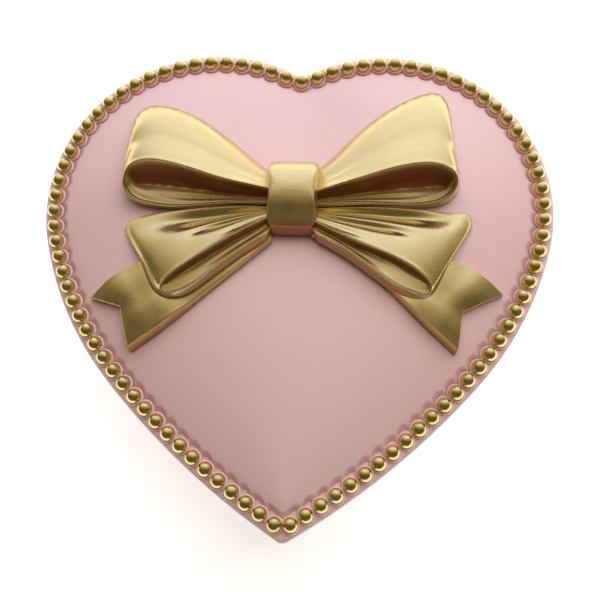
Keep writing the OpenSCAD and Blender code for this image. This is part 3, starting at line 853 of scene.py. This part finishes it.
# %% [markdown]
# ## Loops
# A loop is a wide ribbon that leaves the knot, folds over and comes back. Cast in relief it
# is a shell: a wall that rises from the lid to the mouth's thin rim, and inside the rim a
# valley with no undercut, steep on the upper side and nearly level on the lower. Creases
# that fan out from the knot are grooves that fade along the ribbon.

# %% One loop of the bow
RIM_T, SOLE_H = 0.75, 0.3  # the ribbon's edge around the mouth, and the underside's height
STEEP, GENTLE = 0.45, 0.85  # how a wall rises: at once from the lid, or evenly
FOLD_FROM, FOLD_OVER = 0.7, 0.25  # the outer fold begins and ends at these shares of a loop
GROOVE_FADE = 2.4  # over 1, a groove keeps its full depth for longer before it fades
GROOVE_FLOOR = 0.6  # grooves stay this high above the dome
UNDER_ROWS = (1, 0.85, 0.45, 0.12)
WALL_ROWS = (0, 0.03, 0.08, 0.15, 0.22, 0.3, 0.37, 0.44, 0.5, 0.55, 0.6, 0.65, 0.72, 0.8, 0.87,
             0.93, 0.98)
RIM_ROWS = ((0.1, 0.14), (0.5, 0.24), (0.88, 0.1), (1.0, -0.25))  # share of its width, lift
INNER_ROWS = (0.12, 0.3, 0.5, 0.68, 0.84, 1)
# Painted shade: how dark the gold is painted beneath a loop, at its foot, and up its lower outer
# wall to a share of the wall.
SHADE_BENEATH, SHADE_FOOT, SHADE_TO = 0.8, 0.25, 0.75  # the last is a share of the wall


def lerp(a, b, t):
    return a + (b - a) * t


def bell(share, centre, width):
    return math.exp(-((share - centre) / width) ** 2)


def groove(share, along_share, creases):
    """Depth at a share of the way up the wall: each crease is (share, width, depth, reach)."""
    depth = 0
    for centre, width, deep, reach in creases:
        fade = max(0, 1 - along_share / reach)
        depth += deep * bell(share, centre, width) * min(1, fade * GROOVE_FADE)
    return depth


def loop_rings(foot_points, rim_points, valley_points, rise, creases, folds, shade_amounts):
    """Rings of one loop, from under the foot, over the rim and down to the valley. rise is the
    wall's exponent beside the knot; at the outer fold every wall is steep. The last argument is
    how much painted shade, a dark red-brown, goes on the valley's upper and lower side, and on
    the lower outer wall."""
    foot, rim = smooth_line(foot_points, 3), smooth_line(rim_points, 3)
    count = len(foot)
    half = count // 2 - 1
    start, reach = rim[0].x, rim[half].x - rim[0].x
    valley = smooth_line(valley_points, 6)

    def valley_at(share):
        place = min(max(share, 0), 1) * (len(valley) - 1)
        k = min(int(place), len(valley) - 2)
        return lerp(valley[k], valley[k + 1], place - k)

    shares = [(rim[min(i, count - 1 - i)].x - start) / reach for i in range(count)]
    back = [valley_at(s) for s in shares]
    under = [Vector((b.x, b.y, SOLE_H)) for b in back]
    sole = [Vector((p.x, p.y, SOLE_H)) for p in foot]
    rings = [[on_dome(lerp(s, u, t)) for s, u in zip(sole, under)] for t in UNDER_ROWS]
    for w in WALL_ROWS:
        ring = []
        for i, (f, r) in enumerate(zip(foot, rim)):
            at_fold = min(1, max(0, (shares[i] - FOLD_FROM) / FOLD_OVER))
            power = lerp(rise, STEEP, at_fold) if i <= half else STEEP
            height = lerp(f.z, r.z, w ** power)
            if i <= half:
                height -= groove(w, abs(shares[i]), creases)
            height = max(height, min(f.z + 0.05, GROOVE_FLOOR))
            ring.append(on_dome((lerp(f.x, r.x, w), lerp(f.y, r.y, w), height)))
        rings.append(ring)
    edge = []
    for r, b in zip(rim, back):
        away = Vector((b.x - r.x, b.y - r.y))
        size = min(RIM_T, away.length * 0.4)
        edge.append(away.normalized() * size if away.length > 1e-6 else Vector((0, 0)))
    for share, lift in RIM_ROWS:
        rings.append([on_dome((r.x + e.x * share, r.y + e.y * share, r.z + lift))
                      for r, e in zip(rim, edge)])
    inside = len(rings)
    for q in INNER_ROWS:
        ring = []
        for i, (r, e, b) in enumerate(zip(rim, edge, back)):
            lip = Vector((r.x + e.x, r.y + e.y, r.z + RIM_ROWS[-1][1]))
            depth = math.sin(q * math.pi / 2)
            height = lerp(lip.z, b.z, depth if i <= half else q)
            height -= groove(q if i > half else 2 - q, abs(shares[i]), folds)
            ring.append(on_dome((lerp(lip.x, b.x, q), lerp(lip.y, b.y, q), height)))
        rings.append(ring)
    valley_row = [shade_amounts[0] if i <= half else shade_amounts[1] for i in range(count)]
    hollows = ([[SHADE_BENEATH] * count] * (len(UNDER_ROWS) + 1) + [[SHADE_FOOT] * count]
               + [[shade_amounts[2] if i > half and w < SHADE_TO else 0 for i in range(count)]
                  for w in WALL_ROWS[2:]]
               + [[share * level for level in valley_row] for share in (0, 0, 0.15, 0.5)]
               + [valley_row] * (len(rings) - inside))
    return rings, hollows


def add_loops(level, outlines, creases, rise, folds, shade_amounts):
    """The left and right loop of one level. An outline is foot, rim and valley points."""
    for hand, lines, cuts in zip(("left", "right"), outlines, creases):
        rings, hollows = loop_rings(*lines, rise, cuts, folds, shade_amounts)
        add_bow_piece(f"bow_{level}_{hand}", rolled_grid(rings, hollows), f"{level}_loop_{hand}")


# %% The two upper loops
upper_creases = [(0.88, 0.05, 0.25, 0.5), (0.66, 0.14, 0.5, 2.0)]  # the same on both sides
upper_folds = [(0.5, 0.1, 0.4, 0.8), (0.14, 0.08, 0.3, 1.3), (1.55, 0.12, 0.4, 1.3)]
upper_left = (
    [(-4, 6.5, 0), (-8, 9.6, 0), (-13.5, 14.5, 0), (-20, 19.5, 0), (-26, 22.6, 0),
     (-31, 23.8, 0), (-34.6, 22.2, 0), (-35.4, 16, 0), (-36, 9, 0), (-36, 5, 0),
     (-34.2, 1.1, 0), (-30.2, -0.7, 0), (-24.5, -1.5, 0), (-17.6, -1.2, 0), (-10.2, -0.9, 0),
     (-4, -1.2, 0)],
    [(-4, 1.5, 5.5), (-9, 2.2, 6.5), (-14.2, 3.2, 7.2), (-20, 5, 7.6), (-25.5, 6.6, 7.6),
     (-29.5, 7.3, 7.4), (-32.6, 7, 6.8), (-34.4, 5.9, 6), (-35.2, 4.3, 5), (-35.3, 2.4, 4),
     (-33.6, 0.2, 3), (-30, -1.1, 2.3), (-24.5, -1.8, 2.1), (-17.8, -1.2, 2.1),
     (-10.5, -0.6, 2.5), (-4, -0.8, 3)],
    [(-4, 0.6, 2.6), (-12, 1.4, 1.7), (-20, 2.5, 1.3), (-27, 3.4, 1.2), (-32.5, 3.6, 1.6)])
upper_right = (
    [(4, 7.5, 0), (8, 11.4, 0), (13, 17.4, 0), (19, 22.8, 0), (25, 26.8, 0), (29.2, 28.2, 0),
     (31.6, 25.4, 0), (32.2, 19, 0), (33, 12, 0), (33.9, 6.9, 0), (33.3, 3.4, 0),
     (31, 1, 0), (25.6, -0.3, 0), (18, -0.6, 0), (10.5, -1, 0), (4, -1.6, 0)],
    [(4, 0.8, 5.5), (9, 2.4, 6.5), (14.9, 4.3, 7.2), (20, 5.9, 7.6), (25, 7.1, 7.6),
     (28.6, 7.3, 7.4), (31.2, 6.7, 6.9), (32.7, 5.7, 6.2), (33.3, 4.4, 5.2), (33, 3, 4.2),
     (31.6, 1.4, 3.1), (29.2, 0.2, 2.4), (25, -0.4, 2.1), (18, -0.4, 2.1), (10.5, -0.6, 2.5),
     (4, -1.2, 3)],
    [(4, 0.2, 2.6), (12, 1.8, 1.7), (19, 3.0, 1.3), (26, 3.9, 1.2), (30.6, 4.2, 1.6)])
# The last three numbers are painted shade on the valley's upper and lower side and on the lower
# outer wall.
add_loops("upper", (upper_left, upper_right), (upper_creases, upper_creases), STEEP,
          upper_folds, (1.0, 0.35, 0.3))

# %% The two lower loops
lower_left_creases = [(0.25, 0.15, 2.2, 0.97), (0.56, 0.07, 1.3, 0.72), (0.84, 0.05, 0.6, 0.5)]
lower_right_creases = [(0.2, 0.12, 2.0, 0.97), (0.54, 0.08, 1.3, 0.78), (0.84, 0.05, 0.6, 0.5)]
lower_folds = [(0.45, 0.12, 0.2, 0.6)]
lower_left = (
    [(-4, -1.3, 2.3), (-8, -1, 2.1), (-13, -1.2, 2), (-19, -1.6, 1.9), (-25, -2.1, 1.6),
     (-30.5, -2.6, 0.8), (-34.8, -4, 0), (-34, -7.5, 0), (-31.6, -11.1, 0.9), (-29.2, -16.4, 1.3),
     (-27.4, -19.4, 1.3), (-24.6, -21.2, 1.3), (-20.6, -20.6, 1.3), (-15.2, -16.7, 1.3),
     (-10, -12.5, 1.3), (-4, -8.2, 1.3)],
    [(-4, -4.2, 5.2), (-7.5, -6.2, 5.6), (-11.5, -8.6, 5.8), (-15.7, -11.2, 5.8),
     (-20, -13.9, 5.6), (-23, -15.8, 5.3), (-24.7, -17.1, 4.9), (-25.5, -18.1, 4.5),
     (-25.9, -19, 4.2), (-25.6, -19.8, 4), (-24.6, -20.3, 3.9), (-22.8, -20.2, 4),
     (-19.8, -18.9, 4.1), (-15.5, -15.5, 4.1), (-10.5, -11.5, 4.1), (-4, -6.9, 4.1)],
    [(-4, -5.1, 3.7), (-11, -9.2, 3.5), (-18, -13.8, 3.4), (-24.6, -18.3, 3.5)])
lower_right = (
    [(4, -1.5, 2.3), (9, -1, 2.1), (14, -0.8, 2), (20, -0.8, 1.9), (26, -0.9, 1.6),
     (32, -0.9, 0.8), (35.6, -0.4, 0), (36.6, -3, 0), (34.4, -7, 0.4), (31.6, -12, 0.9),
     (29.3, -17.4, 1.3), (27, -20.2, 1.3), (22.8, -19.8, 1.3), (17.2, -16.2, 1.3),
     (10.8, -11.6, 1.3), (4, -7.8, 1.3)],
    [(4, -5, 5.2), (8, -7.2, 5.6), (12, -9, 5.8), (16, -10.5, 5.8), (20.5, -12, 5.6),
     (24.5, -13.9, 5.3), (26.8, -15.6, 4.9), (28, -17.2, 4.4), (28.1, -18.4, 4.1),
     (27.6, -19.2, 3.9), (26.4, -19.4, 3.9), (24.4, -18.9, 4), (21.5, -17.8, 4.1),
     (16.8, -14.6, 4.1), (10.8, -10.3, 4.1), (4, -6.8, 4.1)],
    [(4, -5.6, 3.7), (12, -9.6, 3.5), (19, -12.7, 3.4), (26.6, -16.8, 3.5)])
add_loops("lower", (lower_left, lower_right), (lower_left_creases, lower_right_creases), GENTLE,
          lower_folds, (0.9, 0.0, 0.75))

# %% [markdown]
# ## Tails
# Each tail is a strip of ribbon that lies on the dome and ends in a swallow-tail cut. Three
# lines give it: the upper edge, the fold down its middle, which ends in the cut's inner
# corner, and the lower edge. A grid laid through the three lines is extruded down to the
# dome. Solidify would be quicker, but its underside would not follow the dome.

# %% The two tails
TAIL_T, TAIL_BULGE, CURL = 1.1, 0.25, 0.12  # thickness, swell of each half, lift of the end
LEAN, LEAN_MORE, LEAN_AT, LEAN_OVER = 0.45, 1.2, 0.67, 0.13  # lift of the lower half
WAVE, WAVE_AT, WAVE_OVER = 0.85, 0.86, 0.11  # a soft fold across, near the end
FLARE, FLARE_WAY = 1.1, (0.6, 0.8)  # the lower wall's foot spreads outwards


def tail_mesh(near, fold, far, across=8):
    """A thick strip on the dome, through three lines of points."""
    rows = [smooth_line(line, 5) for line in (near, fold, far)]
    count = len(rows[0])
    bm = bmesh.new()
    bmesh.ops.create_grid(bm, x_segments=count - 1, y_segments=across, size=1)
    layer = bm.verts.layers.float.new("hollow")
    flare = bm.verts.layers.float.new("flare")
    for vert in bm.verts:
        share = (vert.co.x + 1) / 2
        i = round(share * (count - 1))
        t = vert.co.y + 1
        low, high = (rows[0][i], rows[1][i]) if t <= 1 else (rows[1][i], rows[2][i])
        point = lerp(low, high, t if t <= 1 else t - 1)
        bulge = TAIL_BULGE * math.sin(t * math.pi) ** 2
        wave = WAVE * bell(share, WAVE_AT, WAVE_OVER) + CURL * share ** 12
        lean = LEAN * t * (1 + LEAN_MORE * bell(share, LEAN_AT, LEAN_OVER))
        vert.co = on_dome((point.x, point.y, TAIL_T + lean + bulge + wave))
        vert[flare] = FLARE * share if t > 1.99 else 0
    bmesh.ops.recalc_face_normals(bm, faces=bm.faces)
    if sum(f.normal.z for f in bm.faces) < 0:
        bmesh.ops.reverse_faces(bm, faces=bm.faces)
    top = bm.faces[:]
    wall = bmesh.ops.extrude_face_region(bm, geom=top)
    lowered = [g for g in wall["geom"] if isinstance(g, bmesh.types.BMVert)]
    for vert in lowered:
        way = Vector((math.copysign(FLARE_WAY[0], -vert.co.x), -FLARE_WAY[1], 0))
        vert.co += vert[flare] * way
        vert.co.z = dome_z(vert.co.x, vert.co.y) + 0.03
        # Painted shade: the walls down to the dome are painted fully dark red-brown, for their
        # shaded sides.
        vert[layer] = 1.0
    bm.verts.layers.float.remove(flare)
    bmesh.ops.recalc_face_normals(bm, faces=bm.faces)
    return bm


def add_tail(name, bm, node):
    piece = add_piece(name, bm, "lid", "satin_gold", [node])
    edge = piece.modifiers.new("soft_edge", "BEVEL")
    edge.width, edge.segments, edge.limit_method = 0.22 * MM, 3, "ANGLE"
    edge.angle_limit = math.radians(50)
    edge.harden_normals = True
    return piece


add_tail("bow_tail_left", tail_mesh(
    [(-4, -4.2), (-16, -8), (-26, -11), (-31, -12.7), (-36, -15), (-41.6, -19.5)],
    [(-4, -6.2), (-14, -12), (-22, -16), (-27, -18.5), (-31, -20.3), (-34.8, -21.8)],
    [(-4, -8.4), (-10.2, -13.8), (-17, -19.4), (-22, -23.3), (-27.4, -27), (-32.7, -30)]),
         "tail_left")
add_tail("bow_tail_right", tail_mesh(
    [(4, -3.4), (16, -6.5), (26, -9), (33, -11.3), (37.6, -13.2), (42.8, -16.8)],
    [(4, -5.4), (14, -11), (22, -15), (27, -17.5), (31, -19.5), (34.5, -21.3)],
    [(4, -7.4), (10, -9.6), (16.4, -14.6), (22.6, -20), (28, -24.6), (33.7, -28.8)]),
         "tail_right")

# %% [markdown]
# ## The knot
# The knot is a band wrapped around the middle: a rounded block that bulges a little at the
# waist, with a crowned top and a softly rounded front. Rings of a rounded rectangle, each a
# little smaller than the one below, give the block, and the subdivision does the rounding.

# %% Knot
KNOT_RIDGE = 1.3  # the band is highest a little behind its middle
KNOT_BEND, KNOT_REACH = 2.9, 8  # its top is this much lower, this far from the ridge
SHADE_FRONT, SHADE_BELOW, SHADE_MOST = 4, 8.1, 0.95  # painted shade on its front: from where, below what height, how dark


def knot_ring(width, front, back, height, round_r=1.55, steps=4):
    ring = []
    for corner, (sx, sy) in enumerate(((1, 1), (-1, 1), (-1, -1), (1, -1))):
        centre = Vector((sx * (width / 2 - round_r),
                         back - round_r if sy > 0 else front + round_r))
        for k in range(steps + 1):
            turn = math.pi / 2 * (corner + k / steps)
            ring.append((*(centre + polar(round_r, turn)), height))
    return ring


knot_profile = [  # width, front, back, height above the dome
    (6, -4, 5.6, 0.1), (8.6, -5.8, 7.2, 0.06), (9.6, -6.6, 8.0, 0.1), (10.0, -7.0, 8.5, 1.0),
    (10.2, -7.1, 8.6, 2.6), (10.25, -7.1, 8.6, 4.2), (10.2, -6.9, 8.4, 5.6),
    (10.0, -6.3, 7.8, 6.9), (9.7, -5.1, 6.6, 7.8), (9.3, -3.6, 5.0, 8.25),
    (8.4, -2.4, 4.6, 8.36), (7.0, -1.2, 3.9, 8.4), (5.2, 0.0, 3.3, 8.41),
    (3.4, 0.2, 3.4, 8.42)]


def arched(point):
    """The band's top curves down towards its front and back."""
    x, y, height = point
    bend = KNOT_BEND * ((y - KNOT_RIDGE) / KNOT_REACH) ** 2
    return on_dome((x, y, height * (1 - bend / knot_profile[-1][-1])))


def knot_mesh():
    rings = [[arched(p) for p in knot_ring(*size)] for size in knot_profile]
    under, top = (on_dome((0, KNOT_RIDGE, h)) for h in (0.1, knot_profile[-1][-1] + 0.03))
    rings = [[under] * len(rings[0])] + rings + [[top] * len(rings[0])]
    heights = [0] + [size[-1] for size in knot_profile] + [knot_profile[-1][-1]]
    # Painted shade on the knot's front, darker the lower it lies, where the band turns away from
    # the light.
    shade_painted = [min(SHADE_MOST, max(0, SHADE_BELOW - height)) for height in heights]
    hollows = [[level if p.y < KNOT_AT.y - SHADE_FRONT else 0.0 for p in ring]
               for ring, level in zip(rings, shade_painted)]
    return rolled_grid(rings, hollows)


add_bow_piece("bow_knot_band", knot_mesh(), "bow_knot")

# %% [markdown]
# ## Table, light and camera
# A pale table, and light that comes in low from behind the box, as from a wide window: the
# dome is palest at the back, beads and bow shine on their far side, and the side towards the
# viewer stays dark. The sky around the set is a soft gradient that does most of this, and one
# big lamp overhead, kept out of the reflections, lifts the lacquer's own colour.

# %% Pale table
TABLE_HALF, TOOTH_MM = 1500, 40


def make_table():
    bm = bmesh.new()
    bmesh.ops.create_grid(bm, x_segments=1, y_segments=1, size=TABLE_HALF)
    material, shader, where = new_finish("white_paper_table", {
        "Roughness": 0.9, "Specular IOR Level": 0.1, "Emission Color": (1, 1, 1, 1),
        "Emission Strength": 0.6})
    tooth = add_node(material, "ShaderNodeTexNoise",
                     {"Scale": per_mm(TOOTH_MM), "Detail": 2.0}, Vector=where)
    paper = add_node(material, "ShaderNodeMix", {
        "data_type": "RGBA", FACTOR: tooth.outputs["Fac"], FIRST: paint("#FAFAFA"),
        SECOND: paint("#FDFDFD")})
    feed(material, shader, {"Base Color": paper.outputs[MIXED]})
    to_object("table", bm, material)


make_table()
print("table", 2 * TABLE_HALF, "mm wide")

# %% Soft sky and fill light
def make_sky():
    """A gradient that is bright low behind the box and dark towards the viewer."""
    world = bpy.data.worlds.new("soft_studio")
    bpy.context.scene.world = world
    world.use_nodes = True
    ray = add_node(world, "ShaderNodeTexCoord").outputs["Generated"]
    aim = add_node(world, "ShaderNodeVectorMath",
                   {"operation": "DOT_PRODUCT", 0: ray, 1: WINDOW_WAY})
    ramp = add_node(world, "ShaderNodeValToRGB", Fac=aim.outputs["Value"])
    stops = ramp.color_ramp.elements
    for _ in SKY[2:]:
        stops.new(0.5)
    for stop, (place, level, tint) in zip(stops, sorted(SKY)):
        stop.position = place
        stop.color = (*(level * share for share in tint), 1)
    backdrop = add_node(world, "ShaderNodeLightPath").outputs["Is Camera Ray"]
    seen = add_node(world, "ShaderNodeMix", {
        "data_type": "RGBA", FACTOR: backdrop, FIRST: ramp.outputs["Color"],
        SECOND: paint("#FFFFFF")})
    feed(world, world.node_tree.nodes["Background"], {"Color": seen.outputs[MIXED]})


def soft_box(name, place, target, size, power):
    """A big soft light for the lacquer's body colour, kept out of the gold's reflections."""
    light = bpy.data.lights.new(name, "AREA")
    light.shape, light.size, light.size_y, light.energy = "RECTANGLE", size[0], size[1], power
    lamp = bpy.data.objects.new(name, light)
    lamp.location = Vector(place)
    lamp.rotation_euler = (Vector(target) - lamp.location).to_track_quat("-Z", "Y").to_euler()
    lamp.visible_glossy = False
    bpy.context.scene.collection.objects.link(lamp)


WINDOW_WAY = Vector((0.08, 0.94, 0.34)).normalized()
DIM, BRIGHT = (1, 0.87, 0.6), (0.93, 1, 1.32)  # warm room light, cool window light
SKY = ((0.0, 0.12, DIM), (1.0, 1.24, BRIGHT), (0.3, 0.26, DIM), (0.58, 0.56, DIM),
       (0.8, 0.9, BRIGHT))
make_sky()
soft_box("overhead_fill", (0.2, 0.36, 0.8), (0, 0, 0.04), (0.9, 0.9), 5.9)
print("light comes from", [round(v, 2) for v in WINDOW_WAY])

# %% Camera
AZIMUTH, ELEVATION, ROLL = (math.radians(a) for a in (12.79, 73.19, -10.92))
LOOK_AT, DISTANCE, LENS, SENSOR = Vector((1.65, -3.78, 41)), 224.07, 65.33, 36


def make_camera():
    """A camera that looks down on the lid from the front, a little turned and rolled."""
    data = bpy.data.cameras.new("camera")
    data.lens, data.sensor_width = LENS, SENSOR
    camera = bpy.data.objects.new("camera", data)
    turn = (Matrix.Rotation(AZIMUTH, 3, "Z") @ Matrix.Rotation(math.pi / 2 - ELEVATION, 3, "X")
            @ Matrix.Rotation(ROLL, 3, "Z"))
    camera.matrix_world = (Matrix.Translation((LOOK_AT + turn @ Vector((0, 0, DISTANCE))) * MM)
                           @ turn.to_4x4())
    data.clip_start, data.clip_end = 0.01, 10
    bpy.context.scene.collection.objects.link(camera)
    bpy.context.scene.camera = camera
    print("camera at, mm:", [round(v / MM, 1) for v in camera.matrix_world.translation])


make_camera()
bpy.context.scene.view_settings.view_transform = "Standard"

bpy.context.view_layer.update()
